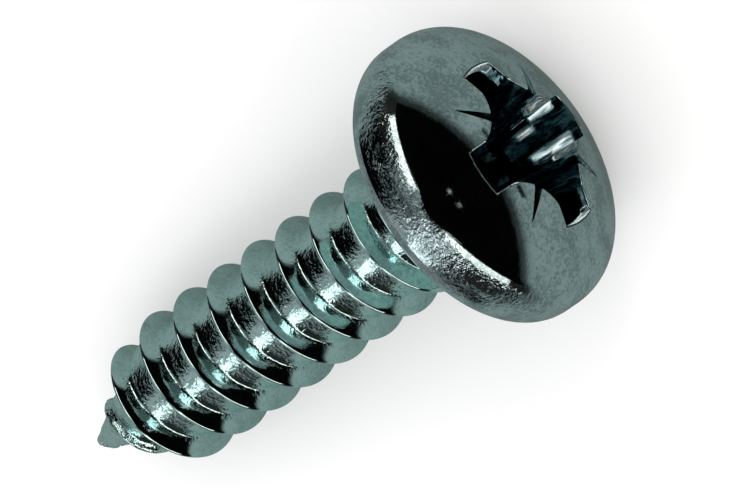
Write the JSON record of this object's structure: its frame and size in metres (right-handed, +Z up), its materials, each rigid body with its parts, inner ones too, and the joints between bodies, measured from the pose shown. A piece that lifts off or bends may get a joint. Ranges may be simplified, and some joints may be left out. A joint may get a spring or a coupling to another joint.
{
  "type": "sheet metal screw",
  "caption": "Tapping screw with a domed pan head, a type Z cross recess, a coarse sharp thread along its whole shank and a cone point.",
  "frame": {"origin": "centre of the flat bearing face under the head, on the screw's centre line", "axes": "the screw lies as it comes to rest, point towards -X and head towards +X; its centre line is in the XZ plane and rises 10.37 degrees towards the head; +Z up"},
  "size_m": [0.0231, 0.011, 0.0109],
  "materials": {
    "zinc_plated_steel": "bright zinc plating with a clear blue-grey passivation, satin on the crown and bright on the thread"
  },
  "bodies": {
    "root": {"sheet_metal_screw": "zinc_plated_steel"}
  },
  "joints": []
}
